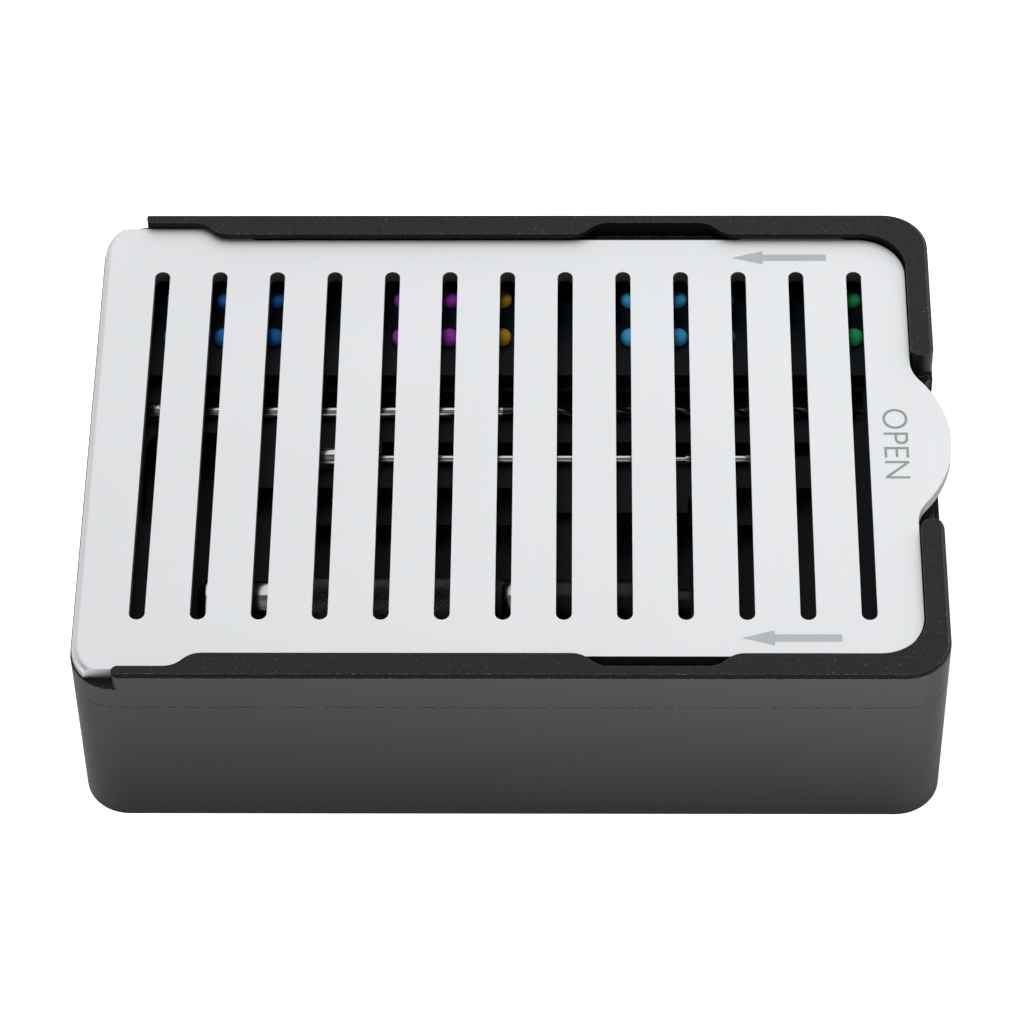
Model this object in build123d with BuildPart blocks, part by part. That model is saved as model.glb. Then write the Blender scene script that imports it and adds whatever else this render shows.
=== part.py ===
from build123d import *
import os

os.makedirs("parts", exist_ok=True)

# A small instrument tray for steam sterilising. X runs along the slide of the lid, with the
# open end at -X. Y runs from the front wall to the back wall and Z is up. The origin is the
# middle of the flat underside. All sizes are in millimetres.

# Outer box
tray_length = 150.0
tray_depth = 106.0
tray_height = 40.0
corner_radius = 8.0
wall = 3.0
floor = 3.0
top_edge_bevel = 0.6
seam_bevel = 0.1

# Upper frame: an end wall, two side walls and the lip that reaches over the lid
frame_height = 8.75
lip_thickness = 1.25
side_wall = 2.3
lip_reach = 2.8
end_wall = 4.1
inner_corner_radius = 8.0
ledge_width = 8.2
ledge_end_width = 6.5
rail_end_setback = 7.6
rail_end_round = 1.1
tab_gap = 37.4
tab_gap_round = 1.9
tab_gap_drop = 2.0
thumb_recess_length = 35.8
thumb_recess_depth = 1.3
thumb_recess_round = 1.2

# Sliding lid: narrow plate with two wide ears on each side and a thumb tab at the right end
lid_thickness = 2.4
lid_travel = 25.2
lid_gap_above = 0.10
lid_gap_below = 0.05
lid_side_gap = 0.3
lid_end_gap = 0.25
lid_outline_gap = 0.3
lid_corner_radius = 8.6
lid_edge_round = 1.2
left_ear_length = 26.2
right_ear_length = 17.4
right_ear_land = 2.95
tab_radius = 22.0
tab_overhang = 6.6
tab_blend = 6.5

# S-shaped flanks of the ears and of the notches that let the ears out
flank_run = 2.7
flank_radius = 4.4
notch_slack = 4.15
end_notch_length = 10.6

# Vent slots of the lid
slot_count = 13
slot_width = 2.75
slot_length = 79.6
first_slot_setback = 10.85
last_slot_setback = 9.25

# Vent slots of the floor
vent_columns = 5
vent_rows = 2
vent_width = 5.0
vent_length = 24.0
vent_pitch_x = 28.0
vent_pitch_y = 36.0

# Countersunk screws that hold the frame, the rack and the instrument block
screw_diameter = 2.0
screw_head_diameter = 3.8
screw_bite = 7.0
screw_socket_width = 1.3
screw_socket_depth = 0.7
pilot_gap = 0.025
frame_screw_inset = 5.0
frame_screw_setback = 13.0
boss_radius = 3.0
post_radius = 3.2
post_height = 11.0
countersink_angle = 90.0

# Rack for the bone anchors: groups of three columns in two rows
content_gap = 0.4
rack_height = 15.0
rack_corner_radius = 2.0
rack_front_margin = 8.4
rack_back_margin = 3.4
row_pitch = 9.2
group_count = 4
first_column_setback = 6.0
last_column_setback = 5.5
rack_screw_setback = 20.5

# Bone anchors: a coloured domed head on a flange, with a plain shank in the rack
head_diameter = 2.8
head_height = 1.9
head_bevel = 0.6
flange_diameter = 3.2
flange_thickness = 0.3
anchor_fit = 0.1

# Instrument block with a groove for each shaft and a well for the handle
block_gap = 0.6
block_height = 12.5
block_corner_radius = 2.0
back_screw_inset = 20.5
back_screw_setback = 10.6
front_screw_inset = 4.0
front_screw_setback = 4.0
groove_fit = 0.05
end_play = 1.0
grip_clearance = 0.2
well_reach = 20.0
well_front_margin = 4.0
well_left_margin = 10.0
well_right_margin = 22.1
well_nose_gap = 4.0
well_corner_radius = 3.0
saddle_width = 6.0
cap_saddle_inset = 9.7
sleeve_saddle_inset = 11.8
drain_width = 4.0
drain_length = 24.0

# Recesses of the deck: a trough behind each shaft and three pockets for the fingers
recess_depth = 3.5
recess_round = 4.0
rib_width = 0.5
drill_trough_reach = 5.8
drill_trough_margin = 5.1
inserter_trough_reach = 4.7
inserter_trough_margin = 12.1
left_pocket_margin = 2.1
left_pocket_width = 15.0
left_pocket_depth = 22.5
left_pocket_setback = 10.8
grip_pocket_width = 61.5
nose_pocket_margin = 7.1
nose_pocket_width = 30.0
nose_pocket_depth = 17.0
pocket_reach = 5.7

# Drill: thin rod with a thicker coupling at its left end
shaft_axis_level = 27.3
drill_diameter = 2.3
drill_point = 1.6
drill_setback = 6.9
drill_left_margin = 2.3
drill_right_margin = 5.5
coupling_diameter = 4.2
coupling_length = 8.6
coupling_tail_diameter = 3.6
coupling_tail_length = 2.0
coupling_groove_depth = 0.5
coupling_groove_width = 1.0

# Inserter: coupling, shaft with a waisted neck, sleeve and dark tip
inserter_pitch = 10.9
inserter_left_margin = 27.6
inserter_right_margin = 19.5
inserter_coupling_length = 16.0
inserter_diameter = 1.6
neck_diameter = 0.9
neck_length = 2.4
sleeve_length = 10.8
tip_diameter = 1.8
tip_length = 7.0

# Handle: end cap, knurled grip, dark ring and coupling sleeve
handle_setback = 17.9
handle_axis_level = 25.0
handle_left_margin = 13.4
grip_diameter = 10.0
metal_diameter = 9.6
cap_length = 16.6
grip_length = 33.0
ring_length = 3.3
handle_sleeve_length = 28.0
nose_length = 5.0
nose_diameter = 6.4
handle_edge_round = 1.5
shank_bore_diameter = 3.9
shank_bore_depth = 14.0

# Cone of a countersunk head down to its shank
screw_head_depth = (screw_head_diameter - screw_diameter) / 2

# Levels
seam_level = tray_height - frame_height
lip_underside = tray_height - lip_thickness
lid_top = lip_underside - lid_gap_above
lid_bottom = lid_top - lid_thickness
ledge_level = lid_bottom - lid_gap_below
post_top = floor + post_height
rack_top = post_top + rack_height
block_top = post_top + block_height

# Places along X and Y
half_length = tray_length / 2
half_depth = tray_depth / 2
channel_y = half_depth - side_wall
lip_y = channel_y - lip_reach
end_face_x = half_length - end_wall
rail_end_x = rail_end_setback - half_length
ledge_inner_x = half_length - ledge_end_width
ledge_inner_y = half_depth - ledge_width
lid_right_x = end_face_x - lid_end_gap
lid_left_x = lid_outline_gap - half_length
ear_y = channel_y - lid_side_gap
plate_y = lip_y - lid_side_gap
ear_right_x = lid_right_x - lid_corner_radius - right_ear_land
ear_left_x = ear_right_x - right_ear_length
left_ear_x = lid_left_x + left_ear_length
notch_right_x = ear_right_x - lid_travel + notch_slack
notch_left_x = ear_left_x - lid_travel - notch_slack
end_notch_x = rail_end_x + end_notch_length
rail_middle_y = half_depth - side_wall / 2
frame_screw_x = half_length - frame_screw_setback
frame_screw_y = half_depth - frame_screw_inset
frame_screws_at = [
    (x, y)
    for x in (-frame_screw_x, 0, frame_screw_x)
    for y in (-frame_screw_y, frame_screw_y)
]

content_half_length = ledge_inner_x - content_gap
content_y = ledge_inner_y - content_gap
back_row_y = content_y - rack_back_margin
front_row_y = back_row_y - row_pitch
rack_front_y = front_row_y - rack_front_margin
rack_middle_y = (content_y + rack_front_y) / 2
rows_middle_y = (back_row_y + front_row_y) / 2
rack_screws_at = [
    (x, rows_middle_y)
    for x in (rack_screw_setback - content_half_length, content_half_length - rack_screw_setback)
]

block_back_y = rack_front_y - block_gap
block_middle_y = (block_back_y - content_y) / 2
back_screw_x = content_half_length - back_screw_inset
front_screw_x = content_half_length - front_screw_inset
block_screws_at = [(x, block_back_y - back_screw_setback) for x in (-back_screw_x, back_screw_x)]
block_screws_at += [(x, front_screw_setback - content_y) for x in (-front_screw_x, front_screw_x)]
drill_y = block_back_y - drill_setback
inserter_y = drill_y - inserter_pitch
handle_y = handle_setback - content_y

drill_start_x = drill_left_margin - content_half_length
drill_end_x = content_half_length - drill_right_margin
drill_rod_x = drill_start_x + coupling_length
inserter_start_x = inserter_left_margin - content_half_length
inserter_rod_x = inserter_start_x + inserter_coupling_length
inserter_end_x = content_half_length - inserter_right_margin
inserter_tip_x = inserter_end_x - tip_length
inserter_sleeve_x = inserter_tip_x - sleeve_length
handle_start_x = handle_left_margin - content_half_length
grip_x = handle_start_x + cap_length
ring_x = grip_x + grip_length
handle_sleeve_x = ring_x + ring_length
nose_x = handle_sleeve_x + handle_sleeve_length

cut_reach = 10.0
same_place = 0.01

# Lower tray: rounded box with screw bosses along its walls and posts on its floor
with BuildPart() as tray_body:
    with BuildSketch():
        RectangleRounded(tray_length, tray_depth, corner_radius)
    extrude(amount=seam_level)
    chamfer(tray_body.edges().group_by(Axis.Z)[-1], seam_bevel)
    with BuildSketch(Plane.XY.offset(floor)):
        RectangleRounded(tray_length - 2 * wall, tray_depth - 2 * wall, corner_radius - wall)
    extrude(amount=seam_level, mode=Mode.SUBTRACT)
    with BuildSketch(Plane.XY.offset(floor)):
        with Locations(*frame_screws_at):
            Circle(boss_radius)
    extrude(amount=seam_level - floor)
    with BuildSketch(Plane.XY.offset(floor)):
        with Locations(*rack_screws_at, *block_screws_at):
            Circle(post_radius)
    extrude(amount=post_height)
    with BuildSketch(Plane.XY.offset(seam_level - screw_bite)):
        with Locations(*frame_screws_at):
            Circle(screw_diameter / 2 + pilot_gap)
    extrude(amount=screw_bite, mode=Mode.SUBTRACT)
    with BuildSketch(Plane.XY.offset(post_top - screw_bite)):
        with Locations(*rack_screws_at, *block_screws_at):
            Circle(screw_diameter / 2 + pilot_gap)
    extrude(amount=screw_bite, mode=Mode.SUBTRACT)
    with BuildSketch():
        with GridLocations(vent_pitch_x, vent_pitch_y, vent_columns, vent_rows):
            SlotOverall(vent_length, vent_width, rotation=90)
    extrude(amount=floor, mode=Mode.SUBTRACT)
tray_body.part.label = "tray_body"
export_step(tray_body.part, "parts/tray_body.step")


# Upper frame: a ledge for the lid, then the channel walls, then the notched lip over the ears
with BuildPart() as upper_frame:
    with BuildSketch(Plane.XY.offset(seam_level)):
        RectangleRounded(tray_length, tray_depth, corner_radius)
    extrude(amount=frame_height)
    chamfer(upper_frame.edges().group_by(Axis.Z)[0], seam_bevel)
    chamfer(upper_frame.edges().group_by(Axis.Z)[-1], top_edge_bevel)
    with BuildSketch(Plane.XY.offset(seam_level)):
        RectangleRounded(2 * ledge_inner_x, 2 * ledge_inner_y, rack_corner_radius)
    extrude(amount=frame_height, mode=Mode.SUBTRACT)
    # The channel for the ears runs out through the left end
    with BuildSketch(Plane.XY.offset(ledge_level)):
        with BuildLine():
            FilletPolyline(
                (-half_length - cut_reach, 0),
                (-half_length - cut_reach, channel_y),
                (end_face_x, channel_y),
                (end_face_x, 0),
                radius=inner_corner_radius,
            )
            mirror(about=Plane.XZ)
        make_face()
    extrude(amount=lip_underside - ledge_level, mode=Mode.SUBTRACT)
    # The lip opening widens at the left end and in the middle, where the ears come out
    with BuildSketch(Plane.XY.offset(lip_underside)):
        with BuildLine():
            FilletPolyline(
                (-half_length - cut_reach, 0),
                (-half_length - cut_reach, channel_y),
                (end_notch_x, channel_y),
                (end_notch_x + flank_run, lip_y),
                (notch_left_x, lip_y),
                (notch_left_x + flank_run, channel_y),
                (notch_right_x - flank_run, channel_y),
                (notch_right_x, lip_y),
                (end_face_x, lip_y),
                (end_face_x, 0),
                radius=[flank_radius] * 7 + [inner_corner_radius],
            )
            mirror(about=Plane.XZ)
        make_face()
    extrude(amount=lip_thickness, mode=Mode.SUBTRACT)
    # The left end is cut down to the ledge, and the end wall opens for the thumb tab
    with BuildSketch(Plane.XY.offset(ledge_level)):
        with Locations((rail_end_x + side_wall, 0)):
            Rectangle(tray_length, 2 * tray_depth, align=(Align.MAX, Align.CENTER))
        for y in (-rail_middle_y, rail_middle_y):
            with Locations((rail_end_x, y)):
                RectangleRounded(
                    2 * corner_radius,
                    side_wall,
                    rail_end_round,
                    align=(Align.MIN, Align.CENTER),
                    mode=Mode.SUBTRACT,
                )
    extrude(amount=tray_height, mode=Mode.SUBTRACT)
    with BuildSketch(Plane.XY.offset(ledge_level - tab_gap_drop)):
        with Locations((end_face_x, 0)):
            Rectangle(cut_reach, tab_gap + 2 * end_wall, align=(Align.MIN, Align.CENTER))
        for y in (-tab_gap / 2 - end_wall, tab_gap / 2 + end_wall):
            with Locations((half_length - end_wall / 2, y)):
                RectangleRounded(end_wall, 2 * end_wall, tab_gap_round, mode=Mode.SUBTRACT)
    extrude(amount=tray_height, mode=Mode.SUBTRACT)
    # A shallow recess under the gap lets a thumb reach the underside of the tab
    with BuildSketch(Plane.XY.offset(seam_level)):
        with Locations((half_length, 0)):
            RectangleRounded(2 * thumb_recess_depth, thumb_recess_length, thumb_recess_round)
    extrude(amount=frame_height, mode=Mode.SUBTRACT)
    with BuildSketch(Plane.XY.offset(seam_level)):
        with Locations(*frame_screws_at):
            Circle(screw_diameter / 2 + pilot_gap)
    extrude(amount=ledge_level - seam_level, mode=Mode.SUBTRACT)
    with BuildSketch(Plane.XY.offset(ledge_level)):
        with Locations(*frame_screws_at):
            Circle(screw_head_diameter / 2)
    extrude(amount=-screw_head_depth, taper=countersink_angle / 2, mode=Mode.SUBTRACT)
upper_frame.part.label = "upper_frame"
export_step(upper_frame.part, "parts/upper_frame.step")


# Sliding lid: plate with ears, thumb tab and a row of vent slots
slot_first_x = lid_left_x + first_slot_setback
slot_last_x = lid_right_x - last_slot_setback
slot_pitch = (slot_last_x - slot_first_x) / (slot_count - 1)
slot_middle_x = (slot_first_x + slot_last_x) / 2

with BuildPart() as sliding_lid:
    with BuildSketch(Plane.XY.offset(lid_bottom)) as lid_plan:
        with BuildLine():
            FilletPolyline(
                (-half_length - cut_reach, 0),
                (-half_length - cut_reach, ear_y),
                (left_ear_x - flank_run, ear_y),
                (left_ear_x, plate_y),
                (ear_left_x, plate_y),
                (ear_left_x + flank_run, ear_y),
                (ear_right_x - flank_run, ear_y),
                (ear_right_x, plate_y),
                (lid_right_x, plate_y),
                (lid_right_x, 0),
                radius=[flank_radius] * 7 + [lid_corner_radius],
            )
            mirror(about=Plane.XZ)
        make_face()
        with Locations((lid_right_x + tab_overhang - tab_radius, 0)):
            Circle(tab_radius)
        tab_corners = lid_plan.vertices().filter_by(lambda corner: abs(corner.X - lid_right_x) < same_place)
        fillet(tab_corners.filter_by(lambda corner: abs(corner.Y) < tab_radius), tab_blend)
        # The left end follows the rounded corners of the tray
        with Locations((lid_left_x, 0)):
            RectangleRounded(
                2 * tray_length,
                tray_depth - 2 * lid_outline_gap,
                corner_radius - lid_outline_gap,
                align=(Align.MIN, Align.CENTER),
                mode=Mode.INTERSECT,
            )
        with Locations((slot_middle_x, 0)):
            with GridLocations(slot_pitch, 0, slot_count, 1):
                SlotOverall(slot_length, slot_width, rotation=90, mode=Mode.SUBTRACT)
    extrude(amount=lid_thickness)
    left_rim = sliding_lid.edges().group_by(Axis.Z)[-1].filter_by(
        lambda edge: edge.center().X < lid_left_x + corner_radius / 2
    )
    fillet(left_rim, lid_edge_round)
sliding_lid.part.label = "sliding_lid"
export_step(sliding_lid.part, "parts/sliding_lid.step")


# Countersunk screws with a slot in the head, standing on their tips in one group
def make_screws(name, places, head_level, length):
    with BuildPart() as screws:
        with BuildSketch(Plane.XY.offset(head_level - length)):
            with Locations(*places):
                Circle(screw_diameter / 2)
        extrude(amount=length)
        with BuildSketch(Plane.XY.offset(head_level)):
            with Locations(*places):
                Circle(screw_head_diameter / 2)
        extrude(amount=-screw_head_depth, taper=countersink_angle / 2)
        with BuildSketch(Plane.XY.offset(head_level)):
            with Locations(*places):
                RegularPolygon(screw_socket_width / 2, 6)
        extrude(amount=-screw_socket_depth, mode=Mode.SUBTRACT)
    screws.part.label = name
    export_step(screws.part, f"parts/{name}.step")


tip_clearance = 0.5
make_screws("frame_screws", frame_screws_at, ledge_level, ledge_level - seam_level + screw_bite - tip_clearance)
make_screws("rack_screws", rack_screws_at, rack_top, rack_height + screw_bite - tip_clearance)
make_screws("block_screws", block_screws_at, block_top, block_height + screw_bite - tip_clearance)


# Anchor columns, in groups of three from the left, with one column left at the right end
first_column_x = first_column_setback - content_half_length
last_column_x = content_half_length - last_column_setback
group_pitch = (last_column_x - first_column_x) / (group_count - 1)


def column_x(kind, group, column):
    return first_column_x + group * group_pitch + column * kind["pitch"] + kind["shift"]


anchor_kinds = {
    "blue_anchors": {
        "columns": [(0, 0), (0, 1), (0, 2)], "pitch": 9.1, "shift": 0.0, "shank": 1.8, "length": 9.0
    },
    "purple_anchors": {
        "columns": [(1, 0), (1, 1)], "pitch": 8.6, "shift": 0.0, "shank": 2.0, "length": 10.0
    },
    "gold_anchors": {
        "columns": [(1, 2)], "pitch": 9.1, "shift": 0.0, "shank": 2.2, "length": 10.0
    },
    "light_blue_anchors": {
        "columns": [(2, 0), (2, 1), (2, 2)], "pitch": 8.7, "shift": 0.0, "shank": 2.4, "length": 11.0
    },
    "green_anchors": {
        "columns": [(3, 0)], "pitch": 8.7, "shift": -1.0, "shank": 2.6, "length": 12.0
    },
}


def anchor_places(kind):
    return [(column_x(kind, *spot), y) for spot in kind["columns"] for y in (front_row_y, back_row_y)]


# Anchor rack: a block with one through hole for each anchor
with BuildPart() as anchor_rack:
    with BuildSketch(Plane.XY.offset(post_top)):
        with Locations((0, rack_middle_y)):
            RectangleRounded(2 * content_half_length, content_y - rack_front_y, rack_corner_radius)
    extrude(amount=rack_height)
    with BuildSketch(Plane.XY.offset(post_top)):
        for kind in anchor_kinds.values():
            with Locations(*anchor_places(kind)):
                Circle(kind["shank"] / 2 + anchor_fit)
        with Locations(*rack_screws_at):
            Circle(screw_diameter / 2 + pilot_gap)
    extrude(amount=rack_height, mode=Mode.SUBTRACT)
    with BuildSketch(Plane.XY.offset(rack_top)):
        with Locations(*rack_screws_at):
            Circle(screw_head_diameter / 2)
    extrude(amount=-screw_head_depth, taper=countersink_angle / 2, mode=Mode.SUBTRACT)
anchor_rack.part.label = "anchor_rack"
export_step(anchor_rack.part, "parts/anchor_rack.step")


# Bone anchors: flange on the rack, head above it, shank in the hole
for name, kind in anchor_kinds.items():
    with BuildPart() as anchors:
        with BuildSketch(Plane.XY.offset(rack_top)):
            with Locations(*anchor_places(kind)):
                Circle(flange_diameter / 2)
        extrude(amount=flange_thickness)
        with BuildSketch(Plane.XY.offset(rack_top + flange_thickness)):
            with Locations(*anchor_places(kind)):
                Circle(head_diameter / 2)
        extrude(amount=head_height)
        chamfer(anchors.edges().group_by(Axis.Z)[-1], head_bevel)
        with BuildSketch(Plane.XY.offset(rack_top)):
            with Locations(*anchor_places(kind)):
                Circle(kind["shank"] / 2)
        extrude(amount=-kind["length"])
    anchors.part.label = name
    export_step(anchors.part, f"parts/{name}.step")


# Instrument block: deck with grooves, troughs and pockets, and a deep well for the handle
well_back_y = handle_y + well_reach
well_front_y = well_front_margin - content_y
well_depth = well_back_y - well_front_y
well_left_x = well_left_margin - content_half_length
well_right_x = max(content_half_length - well_right_margin, nose_x + nose_length + well_nose_gap)
well_middle = ((well_left_x + well_right_x) / 2, (well_back_y + well_front_y) / 2)
saddles_at = [handle_start_x + cap_saddle_inset, handle_sleeve_x + sleeve_saddle_inset]
drain_x = sum(saddles_at) / 2
well_floor_level = handle_axis_level - grip_diameter / 2 - grip_clearance
pocket_back_y = well_back_y + pocket_reach


def make_trough(left_x, right_x, shaft_y, shaft_diameter, reach):
    front_y = shaft_y + shaft_diameter / 2 + rib_width
    back_y = shaft_y + reach
    with Locations(((left_x + right_x) / 2, (front_y + back_y) / 2)):
        Rectangle(right_x - left_x, back_y - front_y)


def make_pocket(left_x, back_y, width, depth):
    with Locations((left_x, back_y)):
        RectangleRounded(width, depth, recess_round, align=(Align.MIN, Align.MAX))


with BuildPart() as instrument_block:
    with BuildSketch(Plane.XY.offset(post_top)):
        with Locations((0, block_middle_y)):
            RectangleRounded(2 * content_half_length, block_back_y + content_y, block_corner_radius)
    extrude(amount=block_height)
    with BuildSketch(Plane.XY.offset(well_floor_level)):
        with Locations(well_middle):
            RectangleRounded(well_right_x - well_left_x, well_depth, well_corner_radius)
        make_pocket(
            left_pocket_margin - content_half_length,
            block_back_y - left_pocket_setback,
            left_pocket_width,
            left_pocket_depth,
        )
    extrude(amount=block_top - well_floor_level, mode=Mode.SUBTRACT)
    # The troughs and two more pockets stop above the floor of the well
    with BuildSketch(Plane.XY.offset(block_top - recess_depth)):
        make_trough(
            drill_rod_x + end_play,
            content_half_length - drill_trough_margin,
            drill_y,
            drill_diameter,
            drill_trough_reach,
        )
        make_trough(
            inserter_rod_x + end_play,
            content_half_length - inserter_trough_margin,
            inserter_y,
            tip_diameter,
            inserter_trough_reach,
        )
        make_pocket(well_left_x, pocket_back_y, grip_pocket_width, pocket_reach + 2 * recess_round)
        make_pocket(
            content_half_length - nose_pocket_margin - nose_pocket_width,
            pocket_back_y,
            nose_pocket_width,
            nose_pocket_depth,
        )
    extrude(amount=recess_depth, mode=Mode.SUBTRACT)
    # Saddles cross the well and carry the handle
    with BuildSketch(Plane.XY.offset(well_floor_level)):
        for saddle_x in saddles_at:
            with Locations((saddle_x, well_middle[1])):
                Rectangle(saddle_width, well_depth)
    extrude(amount=handle_axis_level - well_floor_level)
    with BuildSketch(Plane.YZ.offset(handle_start_x)):
        with Locations((handle_y, handle_axis_level)):
            Circle(metal_diameter / 2 + groove_fit)
    extrude(amount=nose_x - handle_start_x, mode=Mode.SUBTRACT)
    # Shallow grooves for the two shafts and deeper ones for their couplings
    with BuildSketch(Plane.YZ.offset(drill_rod_x)):
        with Locations((drill_y, shaft_axis_level)):
            Circle(drill_diameter / 2 + groove_fit)
    extrude(amount=drill_end_x + end_play - drill_rod_x, mode=Mode.SUBTRACT)
    with BuildSketch(Plane.YZ.offset(drill_start_x - end_play)):
        with Locations((drill_y, shaft_axis_level)):
            Circle(coupling_diameter / 2 + groove_fit)
    extrude(amount=coupling_length + 2 * end_play, mode=Mode.SUBTRACT)
    with BuildSketch(Plane.YZ.offset(inserter_rod_x)):
        with Locations((inserter_y, shaft_axis_level)):
            Circle(tip_diameter / 2 + groove_fit)
    extrude(amount=inserter_end_x + end_play - inserter_rod_x, mode=Mode.SUBTRACT)
    with BuildSketch(Plane.YZ.offset(inserter_start_x - end_play)):
        with Locations((inserter_y, shaft_axis_level)):
            Circle(coupling_diameter / 2 + groove_fit)
    extrude(amount=inserter_coupling_length + 2 * end_play, mode=Mode.SUBTRACT)
    # One drain slot under the handle, between the saddles
    with BuildSketch(Plane.XY.offset(post_top)):
        with Locations((drain_x, handle_y)):
            SlotOverall(drain_length, drain_width)
    extrude(amount=well_floor_level - post_top, mode=Mode.SUBTRACT)
    with BuildSketch(Plane.XY.offset(post_top)):
        with Locations(*block_screws_at):
            Circle(screw_diameter / 2 + pilot_gap)
    extrude(amount=block_height, mode=Mode.SUBTRACT)
    with BuildSketch(Plane.XY.offset(block_top)):
        with Locations(*block_screws_at):
            Circle(screw_head_diameter / 2)
    extrude(amount=-screw_head_depth, taper=countersink_angle / 2, mode=Mode.SUBTRACT)
instrument_block.part.label = "instrument_block"
export_step(instrument_block.part, "parts/instrument_block.step")


# Round pieces lie along X, so each is a half profile turned about its own axis
def make_turned(name, start_x, y, level, profile, bore_diameter=0, bore_depth=0):
    axis_plane = Plane(origin=(start_x, y, level), x_dir=(1, 0, 0), z_dir=(0, -1, 0))
    corners = [(0, 0)]
    place = 0
    for length, start_diameter, end_diameter in profile:
        corners.append((place, start_diameter / 2))
        place += length
        corners.append((place, end_diameter / 2))
    corners.append((place, 0))
    outline = list(dict.fromkeys(corners))
    with BuildPart() as turned:
        with BuildSketch(axis_plane):
            with BuildLine():
                Polyline(*outline, close=True)
            make_face()
        revolve(axis=Axis((start_x, y, level), (1, 0, 0)))
        if bore_depth > 0:
            with BuildSketch(Plane.YZ.offset(start_x + place)):
                with Locations((y, level)):
                    Circle(bore_diameter / 2)
            extrude(amount=-bore_depth, mode=Mode.SUBTRACT)
    turned.part.label = name
    export_step(turned.part, f"parts/{name}.step")


def coupling_profile(length):
    body_length = length - coupling_tail_length - coupling_groove_width - coupling_tail_length
    groove_diameter = coupling_tail_diameter - 2 * coupling_groove_depth
    return [
        (coupling_tail_length, coupling_tail_diameter, coupling_tail_diameter),
        (coupling_groove_width, groove_diameter, groove_diameter),
        (coupling_tail_length, coupling_tail_diameter, coupling_tail_diameter),
        (body_length, coupling_diameter, coupling_diameter),
    ]


# Drill
make_turned("drill_coupling", drill_start_x, drill_y, shaft_axis_level, coupling_profile(coupling_length))
make_turned(
    "drill_bit",
    drill_rod_x,
    drill_y,
    shaft_axis_level,
    [
        (drill_end_x - drill_rod_x - drill_point, drill_diameter, drill_diameter),
        (drill_point, drill_diameter, 0),
    ],
)

# Inserter
shaft_length = inserter_sleeve_x - neck_length - inserter_rod_x
make_turned(
    "inserter_coupling",
    inserter_start_x,
    inserter_y,
    shaft_axis_level,
    coupling_profile(inserter_coupling_length),
)
make_turned(
    "inserter_shaft",
    inserter_rod_x,
    inserter_y,
    shaft_axis_level,
    [
        (shaft_length, inserter_diameter, inserter_diameter),
        (neck_length, neck_diameter, neck_diameter),
    ],
)
make_turned(
    "inserter_sleeve",
    inserter_sleeve_x,
    inserter_y,
    shaft_axis_level,
    [(sleeve_length, inserter_diameter, inserter_diameter)],
)
make_turned(
    "inserter_tip",
    inserter_tip_x,
    inserter_y,
    shaft_axis_level,
    [(tip_length - tip_diameter, tip_diameter, tip_diameter), (tip_diameter, tip_diameter, neck_diameter)],
)

# Handle
make_turned(
    "handle_cap",
    handle_start_x,
    handle_y,
    handle_axis_level,
    [
        (handle_edge_round, metal_diameter - 2 * handle_edge_round, metal_diameter),
        (cap_length - handle_edge_round, metal_diameter, metal_diameter),
    ],
)
make_turned(
    "handle_grip", grip_x, handle_y, handle_axis_level, [(grip_length, grip_diameter, grip_diameter)]
)
make_turned(
    "handle_ring", ring_x, handle_y, handle_axis_level, [(ring_length, grip_diameter, grip_diameter)]
)
make_turned(
    "handle_sleeve",
    handle_sleeve_x,
    handle_y,
    handle_axis_level,
    [
        (handle_sleeve_length, metal_diameter, metal_diameter),
        (nose_length, nose_diameter, nose_diameter),
    ],
    bore_diameter=shank_bore_diameter,
    bore_depth=shank_bore_depth,
)

print("slot pitch", round(slot_pitch, 3), "lid travel", lid_travel)
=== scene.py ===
import math

import bmesh
import bpy
from mathutils import Matrix, Vector


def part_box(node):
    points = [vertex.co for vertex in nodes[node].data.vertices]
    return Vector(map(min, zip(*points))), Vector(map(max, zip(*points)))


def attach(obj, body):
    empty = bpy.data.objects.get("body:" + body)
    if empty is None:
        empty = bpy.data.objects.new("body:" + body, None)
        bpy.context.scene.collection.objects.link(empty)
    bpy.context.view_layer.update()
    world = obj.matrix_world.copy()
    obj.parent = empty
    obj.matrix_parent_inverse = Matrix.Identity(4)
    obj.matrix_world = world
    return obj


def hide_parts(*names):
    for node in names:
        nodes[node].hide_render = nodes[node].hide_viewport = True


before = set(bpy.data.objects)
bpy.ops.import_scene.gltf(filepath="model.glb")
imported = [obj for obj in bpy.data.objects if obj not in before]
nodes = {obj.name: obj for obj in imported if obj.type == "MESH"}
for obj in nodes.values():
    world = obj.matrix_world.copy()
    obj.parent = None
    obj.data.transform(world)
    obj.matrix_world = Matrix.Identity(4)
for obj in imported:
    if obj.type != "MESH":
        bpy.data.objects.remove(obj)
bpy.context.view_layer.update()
mm = 0.001
mergeGap = 0.001 * mm  # corners nearer than this are one corner
print("frame loaded", len(nodes), "nodes")

scene = bpy.context.scene
scene.view_settings.view_transform = "Standard"


def toLinear(hexColour):  # sRGB hex to linear RGBA
    values = [int(hexColour[i:i + 2], 16) / 255 for i in (1, 3, 5)]
    return [v / 12.92 if v <= 0.04045 else ((v + 0.055) / 1.055) ** 2.4 for v in values] + [1.0]


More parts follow.
